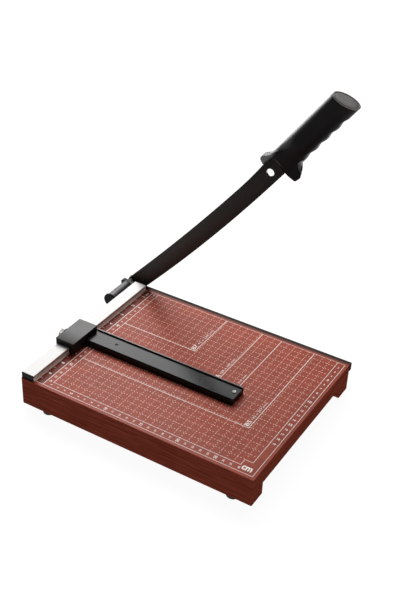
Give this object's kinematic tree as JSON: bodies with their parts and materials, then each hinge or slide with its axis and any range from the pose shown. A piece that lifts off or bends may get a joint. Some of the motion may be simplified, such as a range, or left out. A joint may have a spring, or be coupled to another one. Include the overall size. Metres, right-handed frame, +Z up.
{
  "type": "paper trimmer",
  "caption": "Guillotine paper trimmer: hinged blade with a grip over a wooden base board, white stop rail, and a gauge arm that slides along the rail and locks with a knurled screw.",
  "frame": {"origin": "on the floor, at the centre of the whole outline seen from above, with the blade raised as in the picture", "axes": "+X along the cut from the pivot towards the handle's end of the board; +Y from the user's side towards the blade; +Z up"},
  "size_m": [0.345, 0.263, 0.4023],
  "materials": {
    "board": "satin lacquer, printed grid",
    "runner_wood": "satin lacquer",
    "black_steel": "satin black",
    "blade_steel": "blackened, ground along its length",
    "rail_white": "satin white",
    "black_plastic": "satin",
    "slider_plastic": "fine texture",
    "arm_paint": "satin dark grey",
    "handle_plastic": "semi gloss",
    "cap_plastic": "satin",
    "rubber": "matt",
    "screw_steel": "zinc plated",
    "bright_chrome": "polished, knurled",
    "spring_steel": "bright wire",
    "pad_plastic": "plain"
  },
  "bodies": {
    "base": {"base_panel": "board", "front_runner": "runner_wood", "rear_runner": "runner_wood", "runner_screws": "screw_steel", "rubber_feet": "rubber", "foot_screws": "screw_steel", "bed_knife": "black_steel", "bed_knife_screws": "screw_steel", "stop_rail": "rail_white", "rail_end_cap": "black_plastic", "rail_screws": "screw_steel", "pivot_bracket": "black_steel", "bracket_screws": "screw_steel", "pivot_bolt": "screw_steel", "pivot_washer": "screw_steel", "pivot_spacer": "screw_steel", "spring_seat": "screw_steel", "pivot_spring": "spring_steel", "pivot_nut": "screw_steel", "spring_housing": "black_plastic", "housing_cap": "black_plastic"},
    "blade_arm": {"cutter_blade": "blade_steel", "handle_front_shell": "handle_plastic", "handle_rear_shell": "handle_plastic", "handle_end_cap": "cap_plastic", "handle_screws": "screw_steel"},
    "gauge": {"gauge_slider": "slider_plastic", "gauge_arm": "arm_paint", "gauge_arm_screws": "screw_steel", "arm_rivet": "black_plastic", "arm_end_screw": "screw_steel", "glide_pads": "pad_plastic"},
    "lock_knob": {"lock_screw": "bright_chrome"}
  },
  "joints": [
    {"name": "blade_hinge", "type": "hinge", "parent": "base", "child": "blade_arm", "pos_m": [-0.16215, 0.1233, 0.0445], "axis": [0, 0.9976, 0.0698], "range_deg": [-35, 48]},
    {"name": "gauge_slide", "type": "slide", "parent": "base", "child": "gauge", "axis": [0, 1, 0], "range_m": [-0.068, 0.096]},
    {"name": "lock_turn", "type": "hinge", "parent": "gauge", "child": "lock_knob", "pos_m": [-0.15735, -0.03603, 0.05], "axis": [1, 0, 0], "range_deg": [-360, 0]}
  ]
}
